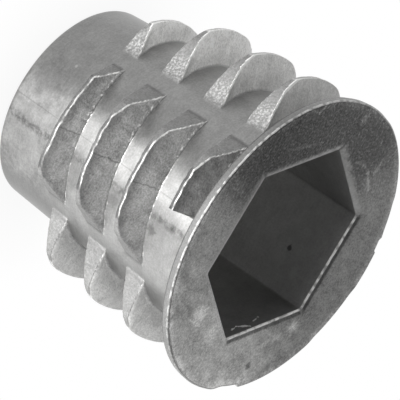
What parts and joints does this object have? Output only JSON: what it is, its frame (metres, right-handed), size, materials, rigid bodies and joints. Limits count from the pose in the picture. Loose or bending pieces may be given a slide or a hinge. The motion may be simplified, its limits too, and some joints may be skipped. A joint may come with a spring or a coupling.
{
  "type": "threaded insert",
  "caption": "Screw-in wood insert: a die-cast zinc sleeve with a thin flange, a coarse interrupted outer thread, a hex drive socket and a machine-thread bore.",
  "frame": {"origin": "middle of the nose face, which the insert stands on", "axes": "+Z along the axis from the nose towards the flange, -Y through the middle of the thread quarter that carries the short last ridge"},
  "size_m": [0.0173, 0.0173, 0.0157],
  "materials": {
    "cast_zinc": "raw die-cast zinc, satin grey, rough and speckled on the thread flanks"
  },
  "bodies": {
    "root": {"insert_body": "cast_zinc"}
  },
  "joints": []
}
